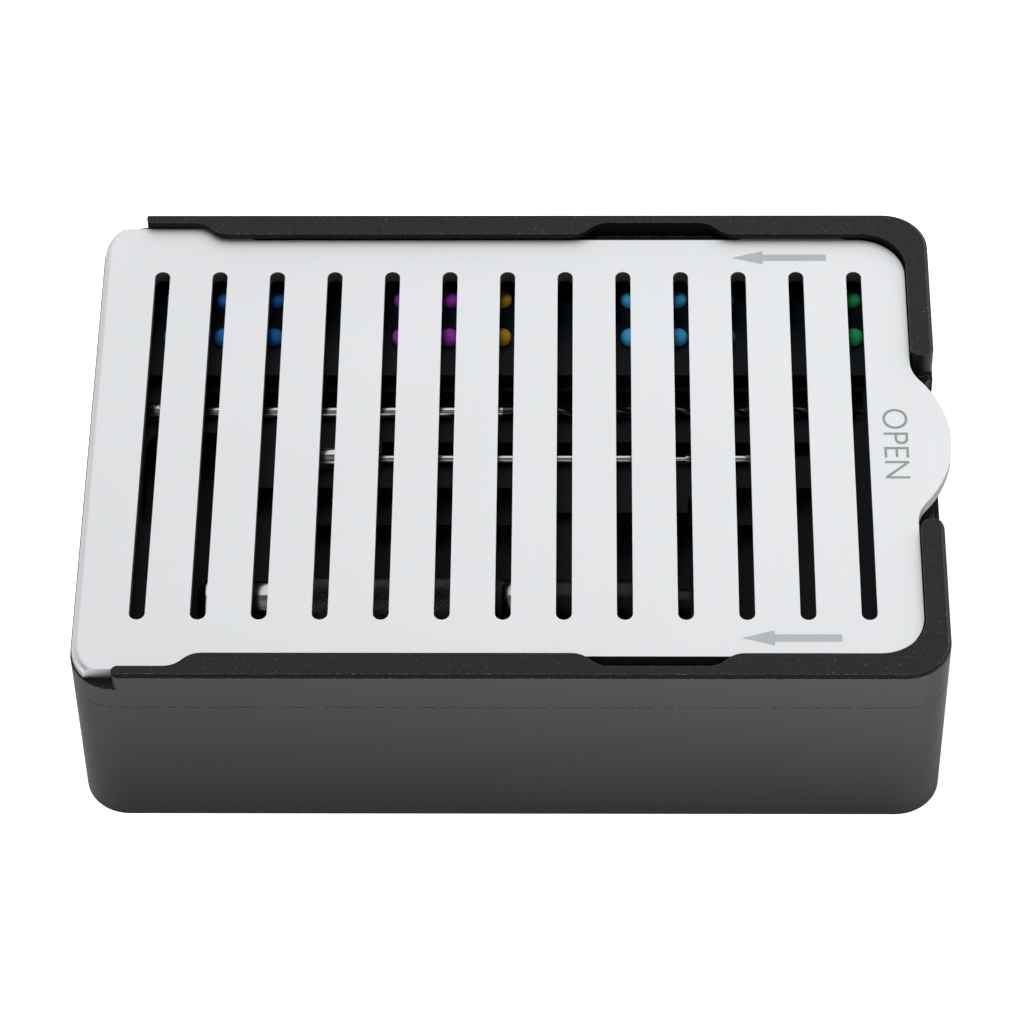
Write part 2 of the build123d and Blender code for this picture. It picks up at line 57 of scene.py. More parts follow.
# Camera, solved from the outline, the slots and the corner arcs of the photograph
view = {
    "place": (12.83 * mm, -520.22 * mm, 663.17 * mm),
    "down": 51.084,  # degrees below level
    "turn": 1.444,  # degrees to the left
    "roll": 1.098,  # degrees
    "lens": 162.3,  # mm
    "sensor": 36.0,  # mm
}
camera = bpy.data.objects.new("camera", bpy.data.cameras.new("camera"))
camera.data.lens = view["lens"]
camera.data.sensor_width = view["sensor"]
camera.data.clip_start = 0.01
camera.matrix_world = (
    Matrix.Translation(view["place"])
    @ Matrix.Rotation(math.radians(view["turn"]), 4, "Z")
    @ Matrix.Rotation(math.radians(90 - view["down"]), 4, "X")
    @ Matrix.Rotation(math.radians(-view["roll"]), 4, "Z")
)
scene.collection.objects.link(camera)
scene.camera = camera
print("camera placed")


# One function adds a node with its settings, links and values to a material or to the world
def addNode(material, kind, settings=None, links=None, values=None):
    node = material.node_tree.nodes.new(kind)
    for name, value in (settings or {}).items():
        setattr(node, name, value)
    for socket, value in (values or {}).items():
        node.inputs[socket].default_value = value
    for socket, source in (links or {}).items():
        material.node_tree.links.new(source, node.inputs[socket])
    return node


def newMaterial(name):
    material = bpy.data.materials.new(name)
    material.use_nodes = True
    material.node_tree.nodes.clear()
    return material


def finishMaterial(material, surface):
    addNode(material, "ShaderNodeOutputMaterial", links={"Surface": surface.outputs[0]})
    return material


def setStops(node, stops):  # fills a colour ramp with (place, brightness) pairs
    ramp = node.color_ramp
    while len(ramp.elements) < len(stops):
        ramp.elements.new(1.0)
    for element, (place, value) in zip(ramp.elements, stops):
        element.position = place
        element.color = (value, value, value, 1.0)


# Room: a broad softbox behind, a dark ceiling, a grey panel in front and white low down all round,
# which give the polished rods their bright and dark lines.
# The arc runs in degrees from the front (-90) over the top (0) to the back (90).
room = {
    "arc": [(-90, 0.95), (-60, 0.95), (-56, 0.08), (-38, 0.08), (-36, 0.24), (-12, 0.24), (-9, 0.12),
            (12, 0.12), (15, 1.10), (66, 1.10), (90, 1.0)],
    "low": 0.95,  # brightness near the horizon
    "lowFrom": 0.40,  # the low part begins below this slope and is full at lowTo
    "lowTo": 0.10,
    "leftPart": 0.62,  # the room is dimmer at the left and brighter at the right
    "rightPart": 1.38,
    "sideReach": 0.5,
    "lampTilt": (-0.12, -0.16),
    "lampDistance": 1.3,  # metres
    "lampSize": 0.32,  # metres
    "lampPower": 9.0,  # watts
    "aim": (0.0, 0.0, 0.035),  # metres, the middle of the lid
}
world = bpy.data.worlds.new("room")
scene.world = world
world.use_nodes = True
world.node_tree.nodes.clear()
outward = addNode(world, "ShaderNodeTexCoord")
parts = addNode(world, "ShaderNodeSeparateXYZ", links={0: outward.outputs["Generated"]})
overhead = addNode(world, "ShaderNodeMath", {"operation": "ARCTAN2"},
                   {0: parts.outputs["Y"], 1: parts.outputs["Z"]})
along = addNode(world, "ShaderNodeMapRange", links={"Value": overhead.outputs[0]},
                values={"From Min": -math.pi, "From Max": math.pi})
arc = addNode(world, "ShaderNodeValToRGB", links={"Fac": along.outputs["Result"]})
setStops(arc, [(0.5 + degrees / 360, value) for degrees, value in room["arc"]])
lowPart = addNode(world, "ShaderNodeMapRange", {"interpolation_type": "SMOOTHSTEP"},
                  {"Value": parts.outputs["Z"]},
                  {"From Min": room["lowTo"], "From Max": room["lowFrom"], "To Min": 1.0, "To Max": 0.0})
walls = addNode(world, "ShaderNodeMix", {"data_type": "RGBA"},
                {"Factor": lowPart.outputs["Result"], "A": arc.outputs["Color"]},
                {"B": (room["low"], room["low"], room["low"], 1.0)})
rightward = addNode(world, "ShaderNodeMapRange", links={"Value": parts.outputs["X"]},
                    values={"From Min": -room["sideReach"], "From Max": room["sideReach"],
                            "To Min": room["leftPart"], "To Max": room["rightPart"]})
roomLight = addNode(world, "ShaderNodeBackground",
                    links={"Color": walls.outputs["Result"], "Strength": rightward.outputs["Result"]})
white = addNode(world, "ShaderNodeBackground", values={"Color": (1, 1, 1, 1), "Strength": 1.0})
ray = addNode(world, "ShaderNodeLightPath")
sky = addNode(world, "ShaderNodeMixShader",
              links={0: ray.outputs["Is Camera Ray"], 1: roomLight.outputs[0], 2: white.outputs[0]})
addNode(world, "ShaderNodeOutputWorld", links={"Surface": sky.outputs[0]})

softbox = bpy.data.lights.new("softbox", "AREA")
softbox.shape = "DISK"
softbox.size = room["lampSize"]
softbox.energy = room["lampPower"]
softboxObject = bpy.data.objects.new("softbox", softbox)
lampPlace = Vector((*room["lampTilt"], 1.0)).normalized() * room["lampDistance"]
lampAim = Vector(room["aim"]) - lampPlace
lampTurn = lampAim.to_track_quat("-Z", "Y").to_matrix().to_4x4()
softboxObject.matrix_world = Matrix.Translation(lampPlace) @ lampTurn
softboxObject.visible_glossy = False  # polished rods show the room's panels, and no hot spot
scene.collection.objects.link(softboxObject)
print("light set")


# Floor: white paper that stays white to the camera and keeps the shadow of the tray. In reflections only it
# glows, from the tray's front wall outwards and to the right: a painted reflection that gives that wall its
# sheen.
floorLook = {
    "size": 6.0,  # metres
    "paper": "#f7f7f7",
    "lift": 0.70,  # the glow that carries the lit paper to white
    "nearY": -0.052,  # metres: the painted glow in reflections starts at the front wall and is full at farY
    "farY": -0.105,
    "near": 0.0,
    "far": 3.2,
    "leftX": -0.06,  # metres
    "rightX": 0.06,
    "left": 0.95,
    "right": 1.40,
}
floorMesh = bmesh.new()
bmesh.ops.create_grid(floorMesh, x_segments=1, y_segments=1, size=floorLook["size"] / 2)
floorData = bpy.data.meshes.new("floor")
floorMesh.to_mesh(floorData)
floorMesh.free()
floor = bpy.data.objects.new("floor", floorData)
scene.collection.objects.link(floor)
paper = newMaterial("whitePaperMatte")
path = addNode(paper, "ShaderNodeLightPath")
seen = addNode(paper, "ShaderNodeMath", {"operation": "MAXIMUM"},
               {0: path.outputs["Is Camera Ray"], 1: path.outputs["Is Transmission Ray"]})
floorPlace = addNode(paper, "ShaderNodeTexCoord")
floorParts = addNode(paper, "ShaderNodeSeparateXYZ", links={0: floorPlace.outputs["Object"]})
sweep = addNode(paper, "ShaderNodeMapRange", links={"Value": floorParts.outputs["Y"]},
                values={"From Min": floorLook["nearY"], "From Max": floorLook["farY"],
                        "To Min": floorLook["near"], "To Max": floorLook["far"]})
slant = addNode(paper, "ShaderNodeMapRange", links={"Value": floorParts.outputs["X"]},
                values={"From Min": floorLook["leftX"], "From Max": floorLook["rightX"],
                        "To Min": floorLook["left"], "To Max": floorLook["right"]})
panel = addNode(paper, "ShaderNodeMath", {"operation": "MULTIPLY"},
                {0: sweep.outputs["Result"], 1: slant.outputs["Result"]})
# painted reflection: glossy rays alone see this glow, which lays a sheen on the front wall
paintedSheen = addNode(paper, "ShaderNodeMath", {"operation": "MULTIPLY"},
                   {0: path.outputs["Is Glossy Ray"], 1: panel.outputs[0]})
shown = addNode(paper, "ShaderNodeMath", {"operation": "MAXIMUM"},
                {0: seen.outputs[0], 1: paintedSheen.outputs[0]})
lift = addNode(paper, "ShaderNodeMath", {"operation": "MULTIPLY"},
               {0: shown.outputs[0]}, {1: floorLook["lift"]})
paperDiffuse = addNode(paper, "ShaderNodeBsdfDiffuse", values={"Color": toLinear(floorLook["paper"])})
paperGlow = addNode(paper, "ShaderNodeEmission", links={"Strength": lift.outputs[0]})
paperLit = addNode(paper, "ShaderNodeAddShader",
                   links={0: paperDiffuse.outputs[0], 1: paperGlow.outputs[0]})
finishMaterial(paper, paperLit)
floorData.materials.append(paper)
print("floor laid")


# Materials. A size without a unit is in millimetres.

# Clear anodised aluminium, bead blasted: an even silver-grey haze without a grain, and milled walls painted
# a darker grey as shade
def metalPlate():
    look = {
        "colour": "#f4f6f8",
        "paintedWallShade": "#9fa1a4",  # painted shade: a darker grey for the walls of the plate and of its slots
        "wallUpTo": 0.10,  # upward part of the normal: painted wall shade below this, plain plate colour above plateFrom
        "plateFrom": 0.75,
        "bead": 0.25,  # dents of the blasting beads, drawn coarser than the real 0.1 so that they show
        "dent": 0.012,
        "bumpStrength": 0.25,
        "rough": 0.55,
        "roughSpread": 0.02,
        "cloud": 35,  # slow change of the haze across the plate
    }
    material = newMaterial("clearAnodisedAluminiumBeadBlasted")
    place = addNode(material, "ShaderNodeTexCoord")
    beads = addNode(material, "ShaderNodeTexNoise", links={"Vector": place.outputs["Object"]},
                    values={"Scale": 1 / (look["bead"] * mm), "Detail": 2.0, "Roughness": 0.6})
    bump = addNode(material, "ShaderNodeBump", links={"Height": beads.outputs["Fac"]},
                   values={"Strength": look["bumpStrength"], "Distance": look["dent"] * mm})
    cloud = addNode(material, "ShaderNodeTexNoise", links={"Vector": place.outputs["Object"]},
                    values={"Scale": 1 / (look["cloud"] * mm), "Detail": 1.0})
    rough = addNode(material, "ShaderNodeMapRange", links={"Value": cloud.outputs["Fac"]},
                    values={"To Min": look["rough"] - look["roughSpread"],
                            "To Max": look["rough"] + look["roughSpread"]})
    faces = addNode(material, "ShaderNodeNewGeometry")
    facingUp = addNode(material, "ShaderNodeSeparateXYZ", links={0: faces.outputs["Normal"]})
    upFacingShare = addNode(material, "ShaderNodeMapRange", links={"Value": facingUp.outputs["Z"]},
                      values={"From Min": look["wallUpTo"], "From Max": look["plateFrom"]})
    # the walls get the darker grey: painted shade
    colour = addNode(material, "ShaderNodeMix", {"data_type": "RGBA"},
                     {"Factor": upFacingShare.outputs["Result"]},
                     {"A": toLinear(look["paintedWallShade"]), "B": toLinear(look["colour"])})
    shader = addNode(material, "ShaderNodeBsdfPrincipled",
                     links={"Normal": bump.outputs[0], "Roughness": rough.outputs["Result"],
                            "Base Color": colour.outputs["Result"]},
                     values={"Metallic": 1.0})
    return finishMaterial(material, shader)


# Black anodised aluminium, fine milled: a charcoal sheen, with pale dust and hair lines mostly on the faces
# that look up, and pale edges that are partly rubbed wear and partly a painted highlight
def blackAnodised():
    look = {
        "colour": "#101214",
        "dust": "#9a9d9f",
        "rubbedAndHighlit": "#a9abad",
        "rough": 0.42,
        "roughSpread": 0.06,
        "specular": 0.25,
        "grain": 0.30,  # pores, drawn coarser than the real 0.05 so that they show
        "poreDepth": 0.01,
        "bumpStrength": 0.15,
        "speck": 0.45,  # dust
        "dustFrom": 0.64,
        "dustTo": 0.74,
        "dustMost": 0.34,
        "line": 0.16,  # hair line's width; lineStretch makes it fifty times as long
        "lineStretch": 0.02,
        "lineFrom": 0.68,
        "lineTo": 0.76,
        "lineMost": 0.10,
        "uprightTo": 0.2,  # upward part of the normal where dust begins to lie, and where it lies in full
        "lyingFrom": 0.8,
        "uprightShare": 0.12,
        "edge": 0.16,  # width of the pale edge, rubbed wear and painted highlight
        "edgeFrom": 0.995,
        "edgeTo": 0.90,
        "patchFrom": 0.42,
        "patchTo": 0.66,
        "rubAndHighlightLeast": 0.06,
        "rubAndHighlightMost": 0.60,
    }
    material = newMaterial("blackAnodisedAluminiumMilled")
    place = addNode(material, "ShaderNodeTexCoord")
    grain = addNode(material, "ShaderNodeTexNoise", links={"Vector": place.outputs["Object"]},
                    values={"Scale": 1 / (look["grain"] * mm), "Detail": 3.0, "Roughness": 0.7})
    speck = addNode(material, "ShaderNodeTexNoise", links={"Vector": place.outputs["Object"]},
                    values={"Scale": 1 / (look["speck"] * mm), "Detail": 3.0, "Roughness": 0.6})
    dust = addNode(material, "ShaderNodeMapRange", links={"Value": speck.outputs["Fac"]},
                   values={"From Min": look["dustFrom"], "From Max": look["dustTo"],
                           "To Min": 0.0, "To Max": look["dustMost"]})
    stretch = addNode(material, "ShaderNodeMapping", links={"Vector": place.outputs["Object"]},
                      values={"Scale": (look["lineStretch"], 1.0, 1.0)})
    hair = addNode(material, "ShaderNodeTexNoise", links={"Vector": stretch.outputs[0]},
                   values={"Scale": 1 / (look["line"] * mm), "Detail": 2.0, "Roughness": 0.5})
    hairLines = addNode(material, "ShaderNodeMapRange", links={"Value": hair.outputs["Fac"]},
                        values={"From Min": look["lineFrom"], "From Max": look["lineTo"],
                                "To Min": 0.0, "To Max": look["lineMost"]})
    both = addNode(material, "ShaderNodeMath", {"operation": "MAXIMUM"},
                   {0: dust.outputs["Result"], 1: hairLines.outputs["Result"]})
    flat = addNode(material, "ShaderNodeNewGeometry")
    facingUp = addNode(material, "ShaderNodeSeparateXYZ", links={0: flat.outputs["Normal"]})
    lying = addNode(material, "ShaderNodeMapRange", links={"Value": facingUp.outputs["Z"]},
                    values={"From Min": look["uprightTo"], "From Max": look["lyingFrom"],
                            "To Min": look["uprightShare"], "To Max": 1.0})
    settled = addNode(material, "ShaderNodeMath", {"operation": "MULTIPLY"},
                      {0: both.outputs[0], 1: lying.outputs["Result"]})
    colour = addNode(material, "ShaderNodeMix", {"data_type": "RGBA"},
                     {"Factor": settled.outputs[0]},
                     {"A": toLinear(look["colour"]), "B": toLinear(look["dust"])})
    edge = addNode(material, "ShaderNodeBevel", {"samples": 4}, values={"Radius": look["edge"] * mm})
    facing = addNode(material, "ShaderNodeVectorMath", {"operation": "DOT_PRODUCT"},
                     {0: edge.outputs[0], 1: flat.outputs["Normal"]})
    corner = addNode(material, "ShaderNodeMapRange", links={"Value": facing.outputs["Value"]},
                     values={"From Min": look["edgeFrom"], "From Max": look["edgeTo"],
                             "To Min": 0.0, "To Max": 1.0})
    patch = addNode(material, "ShaderNodeMapRange", links={"Value": speck.outputs["Fac"]},
                    values={"From Min": look["patchFrom"], "From Max": look["patchTo"],
                            "To Min": look["rubAndHighlightLeast"], "To Max": look["rubAndHighlightMost"]})
    rubAndHighlight = addNode(material, "ShaderNodeMath", {"operation": "MULTIPLY"},
                  {0: corner.outputs["Result"], 1: patch.outputs["Result"]})
    # pale edges: rubbed wear and a painted highlight along the rounded edges
    wornAndHighlit = addNode(material, "ShaderNodeMix", {"data_type": "RGBA"},
                   {"Factor": rubAndHighlight.outputs[0], "A": colour.outputs["Result"]},
                   {"B": toLinear(look["rubbedAndHighlit"])})
    rough = addNode(material, "ShaderNodeMapRange", links={"Value": grain.outputs["Fac"]},
                    values={"To Min": look["rough"] - look["roughSpread"],
                            "To Max": look["rough"] + look["roughSpread"]})
    bump = addNode(material, "ShaderNodeBump",
                   links={"Height": grain.outputs["Fac"], "Normal": edge.outputs[0]},
                   values={"Strength": look["bumpStrength"], "Distance": look["poreDepth"] * mm})
    shader = addNode(material, "ShaderNodeBsdfPrincipled",
                     links={"Base Color": wornAndHighlit.outputs["Result"], "Roughness": rough.outputs["Result"],
                            "Normal": bump.outputs[0]},
                     values={"Specular IOR Level": look["specular"]})
    return finishMaterial(material, shader)


# Dull dark skins, such as milled plastic, moulded rubber and black oxide: faint tool or mould marks
def darkSatin(name, colour, rough):
    look = {"mark": 0.4, "markDepth": 0.02, "bumpStrength": 0.2, "roughSpread": 0.08, "specular": 0.3}
    material = newMaterial(name)
    place = addNode(material, "ShaderNodeTexCoord")
    marksLeft = addNode(material, "ShaderNodeTexNoise", links={"Vector": place.outputs["Object"]},
                        values={"Scale": 1 / (look["mark"] * mm), "Detail": 3.0})
    spread = addNode(material, "ShaderNodeMapRange", links={"Value": marksLeft.outputs["Fac"]},
                     values={"To Min": rough - look["roughSpread"], "To Max": rough + look["roughSpread"]})
    bump = addNode(material, "ShaderNodeBump", links={"Height": marksLeft.outputs["Fac"]},
                   values={"Strength": look["bumpStrength"], "Distance": look["markDepth"] * mm})
    shader = addNode(material, "ShaderNodeBsdfPrincipled",
                     links={"Roughness": spread.outputs["Result"], "Normal": bump.outputs[0]},
                     values={"Base Color": toLinear(colour), "Specular IOR Level": look["specular"]})
    return finishMaterial(material, shader)


# Steel, turned along X: fine rings round the axis that spread its highlights
def steel(name, colour, rough, lineWidth):
    look = {"ringStretch": 0.02, "ringDepth": 0.01, "bumpStrength": 0.1, "roughLeast": 0.75,
            "roughMost": 1.25}
    material = newMaterial(name)
    place = addNode(material, "ShaderNodeTexCoord")
    stretch = addNode(material, "ShaderNodeMapping", links={"Vector": place.outputs["Object"]},
                      values={"Scale": (1.0, look["ringStretch"], look["ringStretch"])})
    lines = addNode(material, "ShaderNodeTexNoise", links={"Vector": stretch.outputs[0]},
                    values={"Scale": 1 / (lineWidth * mm), "Detail": 2.0})
    spread = addNode(material, "ShaderNodeMapRange", links={"Value": lines.outputs["Fac"]},
                     values={"To Min": rough * look["roughLeast"], "To Max": rough * look["roughMost"]})
    bump = addNode(material, "ShaderNodeBump", links={"Height": lines.outputs["Fac"]},
                   values={"Strength": look["bumpStrength"], "Distance": look["ringDepth"] * mm})
    shader = addNode(material, "ShaderNodeBsdfPrincipled",
                     links={"Roughness": spread.outputs["Result"], "Normal": bump.outputs[0]},
                     values={"Base Color": toLinear(colour), "Metallic": 1.0})
    return finishMaterial(material, shader)


# Titanium, blasted and then coloured by its oxide film: an even, nearly matt colour
def anodisedTitanium(name, colour):
    look = {"film": 0.5, "filmDepth": 0.01, "bumpStrength": 0.15, "roughLeast": 0.44, "roughMost": 0.56,
            "metallic": 0.1}
    material = newMaterial(name)
    place = addNode(material, "ShaderNodeTexCoord")
    film = addNode(material, "ShaderNodeTexNoise", links={"Vector": place.outputs["Object"]},
                   values={"Scale": 1 / (look["film"] * mm), "Detail": 2.0})
    rough = addNode(material, "ShaderNodeMapRange", links={"Value": film.outputs["Fac"]},
                    values={"To Min": look["roughLeast"], "To Max": look["roughMost"]})
    bump = addNode(material, "ShaderNodeBump", links={"Height": film.outputs["Fac"]},
                   values={"Strength": look["bumpStrength"], "Distance": look["filmDepth"] * mm})
    shader = addNode(material, "ShaderNodeBsdfPrincipled",
                     links={"Roughness": rough.outputs["Result"], "Normal": bump.outputs[0]},
                     values={"Base Color": toLinear(colour), "Metallic": look["metallic"]})
    return finishMaterial(material, shader)


looks = {
    "tray_body": blackAnodised(),
    "sliding_lid": metalPlate(),
    "instrument_block": darkSatin("blackPpsuMilled", "#0c1217", 0.5),  # dull and nearly black
    "frame_screws": steel("stainlessSteelTurned", "#b9babd", 0.30, 0.08),  # satin grey heads
    "handle_cap": steel("stainlessSteelPolished", "#c9cacd", 0.12, 0.06),  # bright and dark lines
    "handle_sleeve": darkSatin("steelBlackOxideSatin", "#0f1012", 0.3),  # black with a soft shine
    "handle_ring": darkSatin("greySiliconeMoulded", "#2b2c2e", 0.5),  # soft dark grey
    "handle_grip": steel("stainlessSteelKnurled", "#b2b3b6", 0.30, 0.1),  # a glint on each ridge
    "blue_anchors": anodisedTitanium("titaniumAnodisedBlue", "#1b6bb4"),
    "purple_anchors": anodisedTitanium("titaniumAnodisedPurple", "#9a3cb3"),
    "gold_anchors": anodisedTitanium("titaniumAnodisedGold", "#cfa523"),
    "light_blue_anchors": anodisedTitanium("titaniumAnodisedLightBlue", "#3eaada"),
    "green_anchors": anodisedTitanium("titaniumAnodisedGreen", "#2a9b58"),
}
sameLook = {
    "upper_frame": "tray_body",
    "anchor_rack": "instrument_block",
    "block_screws": "frame_screws",
    "rack_screws": "frame_screws",
    "drill_coupling": "handle_cap",
    "drill_bit": "handle_cap",
    "inserter_coupling": "handle_cap",
    "inserter_shaft": "handle_cap",
    "inserter_sleeve": "handle_cap",
    "inserter_tip": "handle_grip",
}
for name, node in nodes.items():
    node.data.materials.clear()
    node.data.materials.append(looks[sameLook.get(name, name)])
print("materials set")


# Every new piece comes from a bmesh, sits at the origin and rides on a body
def addPiece(name, mesh, material, body, smooth=True):
    data = bpy.data.meshes.new(name)
    mesh.to_mesh(data)
    mesh.free()
    for face in data.polygons:
        face.use_smooth = smooth
    data.materials.append(material)
    piece = bpy.data.objects.new(name, data)
    scene.collection.objects.link(piece)
    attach(piece, body)
    return piece


# Boxes of the separate solids of a CAD node, with the radius of each solid's lower half about its own axis
def solidBoxes(nodeName):
    copy = bmesh.new()
    copy.from_mesh(nodes[nodeName].data)
    bmesh.ops.remove_doubles(copy, verts=copy.verts, dist=mergeGap)
    waiting = set(copy.verts)
    found = []
    while waiting:
        solid = [waiting.pop()]
        for vert in solid:
            for joined in [e.other_vert(vert) for e in vert.link_edges]:
                if joined in waiting:
                    waiting.remove(joined)
                    solid.append(joined)
        low = Vector(min(v.co[i] for v in solid) for i in range(3))
        high = Vector(max(v.co[i] for v in solid) for i in range(3))
        middle = (low + high) / 2
        stem = max((v.co - middle).xy.length for v in solid if v.co.z < middle.z)
        found.append((low, high, middle, stem))
    copy.free()
    return found


# Turns a half outline of (radius, height) points about an upright axis
def turnOutline(mesh, middle, outline, steps):
    points = [mesh.verts.new((middle.x + radius, middle.y, height)) for radius, height in outline]
    lines = [mesh.edges.new(pair) for pair in zip(points, points[1:])]
    bmesh.ops.spin(mesh, geom=points + lines, cent=(middle.x, middle.y, 0), axis=(0, 0, 1), dvec=(0, 0, 0),
                   angle=2 * math.pi, steps=steps, use_merge=True)


# Anchors: domed head, smooth neck and a threaded stem that tapers at its end. The thread is coarser than
# the real one, so that it shows.
anchor = {
    "headHeight": 1.9,
    "headScale": 1.08,
    "rim": 0.95,  # height of the head's straight rim under the dome
    "domeSteps": 6,
    "domePower": 3,
    "neck": 1.6,
    "core": 0.80,  # core of the thread as a share of the stem's radius
    "tip": 1.4,
    "tipRadius": 0.25,
    "pitch": 0.9,
    "ridge": (0.1, 0.4, 0.7),  # foot, crest and foot of the ridge within one pitch
    "ridgeFoot": 0.96,  # the ridge starts just inside the core
    "threadSteps": 14,
    "steps": 28,
    "sharpAbove": 40,  # degrees
}
for kind in ("blue", "purple", "gold", "light_blue", "green"):
    nodeName = kind + "_anchors"
    heads = bmesh.new()
    for low, high, middle, stem in solidBoxes(nodeName):
        headRadius = (high.x - low.x) / 2 * anchor["headScale"]
        core = stem * anchor["core"]
        headFloor = high.z - anchor["headHeight"] * mm
        rimTop = headFloor + anchor["rim"] * mm
        neckFloor = headFloor - anchor["neck"] * mm
        tipTop = low.z + anchor["tip"] * mm
        outline = [(0, low.z), (anchor["tipRadius"] * mm, low.z), (core, tipTop), (core, neckFloor),
                   (stem, neckFloor), (stem, headFloor), (headRadius, headFloor)]
        for step in range(anchor["domeSteps"] + 1):
            part = step / anchor["domeSteps"]
            rise = 1 - (1 - part) ** anchor["domePower"]
            outline.append((headRadius * (1 - part), rimTop + (high.z - rimTop) * rise))
        outline[-1] = (0, high.z)
        turnOutline(heads, middle, outline, anchor["steps"])
        turns = math.floor((neckFloor - low.z - anchor["tip"] * mm) / (anchor["pitch"] * mm)) - 1
        foot = core * anchor["ridgeFoot"]
        ridge = [heads.verts.new((middle.x + radius, middle.y, tipTop + height * anchor["pitch"] * mm))
                 for radius, height in zip((foot, stem, foot), anchor["ridge"])]
        ridgeLines = [heads.edges.new(pair) for pair in zip(ridge, ridge[1:] + ridge[:1])]
        coil = bmesh.ops.spin(heads, geom=ridge + ridgeLines, cent=(middle.x, middle.y, 0), axis=(0, 0, 1),
                              dvec=(0, 0, anchor["pitch"] * mm / anchor["threadSteps"]),
                              angle=2 * math.pi * turns, steps=turns * anchor["threadSteps"])
        lastLoop = [e for e in coil["geom_last"] if isinstance(e, bmesh.types.BMEdge)]
        bmesh.ops.holes_fill(heads, edges=ridgeLines + lastLoop, sides=3)
    bmesh.ops.remove_doubles(heads, verts=heads.verts, dist=mergeGap)
    bmesh.ops.recalc_face_normals(heads, faces=heads.faces)
    anchorPiece = addPiece(kind + "AnchorsThreaded", heads, looks[nodeName], "case")
    anchorPiece.data.set_sharp_from_angle(angle=math.radians(anchor["sharpAbove"]))
    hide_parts(nodeName)
print("anchors made")


# Countersunk screws with a hexagon socket and a plain shank
screw = {
    "coneHeight": 0.9,
    "rim": 0.10,
    "socketRadius": 0.75,
    "socketDepth": 1.1,
    "socketCuts": 5,  # cuts in each side of the hexagon, so that it meets the round head corner for corner
    "sharpAbove": 30,  # degrees
}
for nodeName in ("frame_screws", "block_screws", "rack_screws"):
    screws = bmesh.new()
    for low, high, middle, stem in solidBoxes(nodeName):
        headRadius = (high.x - low.x) / 2
        rim = screw["rim"] * mm
        outline = [(0, low.z), (stem, low.z), (stem, high.z - screw["coneHeight"] * mm),
                   (headRadius, high.z - rim), (headRadius - rim, high.z)]
        turnOutline(screws, middle, outline, 6 * (screw["socketCuts"] + 1))
        bmesh.ops.remove_doubles(screws, verts=screws.verts, dist=mergeGap)
        topRing = [e for e in screws.edges if e.is_boundary]
        socket = bmesh.ops.create_circle(screws, cap_ends=False, segments=6,
                                         radius=screw["socketRadius"] * mm,
                                         matrix=Matrix.Translation((middle.x, middle.y, high.z)))
        socketLines = list({e for v in socket["verts"] for e in v.link_edges})
        bmesh.ops.subdivide_edges(screws, edges=socketLines, cuts=screw["socketCuts"])
        socketRing = [e for e in screws.edges if not e.link_faces]
        bmesh.ops.bridge_loops(screws, edges=topRing + socketRing)
        sunk = bmesh.ops.extrude_edge_only(screws, edges=socketRing)
        sunkVerts = [g for g in sunk["geom"] if isinstance(g, bmesh.types.BMVert)]
        bmesh.ops.translate(screws, vec=(0, 0, -screw["socketDepth"] * mm), verts=sunkVerts)
        bmesh.ops.holes_fill(screws, edges=[e for e in screws.edges if e.is_boundary], sides=0)
    bmesh.ops.recalc_face_normals(screws, faces=screws.faces)
    screwPiece = addPiece(nodeName.split("_")[0] + "SocketScrews", screws, looks["frame_screws"], "case")
    screwPiece.data.set_sharp_from_angle(angle=math.radians(screw["sharpAbove"]))
    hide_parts(nodeName)
print("screws made")


def growRing(mesh, lines, distance):  # extrudes an open ring along X and returns its new edges and corners
    grown = bmesh.ops.extrude_edge_only(mesh, edges=lines)["geom"]
    corners = [g for g in grown if isinstance(g, bmesh.types.BMVert)]
    bmesh.ops.translate(mesh, vec=(distance, 0, 0), verts=corners)
    edges = [g for g in grown if isinstance(g, bmesh.types.BMEdge)]
    return [e for e in edges if all(v in corners for v in e.verts)], corners


# Drill: plain polished shank, two twisted flutes and a point
drill = {
    "plainEnd": -2.0,  # X where the shank ends
    "runIn": 2.0,  # length over which the round section becomes the fluted one
    "tip": 1.6,
    "fluteDepth": 0.42,  # as a share of the radius
    "flutePower": 3,  # how narrow the hollows are
    "fluteTurn": 15.0,  # length of one turn
    "segments": 28,
    "stepsPerTurn": 28,
    "fluteColour": "#4b4c4f",
    "fluteRough": 0.22,
    "fluteLine": 0.1,  # grinding lines
    "sharpAbove": 35,  # degrees
}
low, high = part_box("drill_bit")
drillRadius = (high.z - low.z) / 2
drillMiddle = (low + high) / 2
bit = bmesh.new()
upright = Matrix.Translation((low.x, drillMiddle.y, drillMiddle.z)) @ Matrix.Rotation(math.pi / 2, 4, "Y")
ring = bmesh.ops.create_circle(bit, cap_ends=True, segments=drill["segments"], radius=drillRadius,
                               matrix=upright)
ringLines = list({e for v in ring["verts"] for e in v.link_edges})
ringLines, corners = growRing(bit, ringLines, drill["plainEnd"] * mm - low.x)
ringLines, corners = growRing(bit, ringLines, drill["runIn"] * mm)
for corner in corners:  # two hollows opposite each other turn the round section into the fluted one
    across = corner.co - drillMiddle
    angle = math.atan2(across.z, across.y)
    keep = 1 - drill["fluteDepth"] * abs(math.cos(angle)) ** drill["flutePower"]
    corner.co = Vector((corner.co.x, drillMiddle.y + across.y * keep, drillMiddle.z + across.z * keep))
fluteLength = high.x - drill["tip"] * mm - (drill["plainEnd"] + drill["runIn"]) * mm
fluteTurns = fluteLength / (drill["fluteTurn"] * mm)
fluteSteps = round(fluteTurns * drill["stepsPerTurn"])
twisted = bmesh.ops.spin(bit, geom=corners + ringLines, cent=drillMiddle, axis=(1, 0, 0),
                         dvec=(fluteLength / fluteSteps, 0, 0), angle=fluteTurns * 2 * math.pi,
                         steps=fluteSteps)
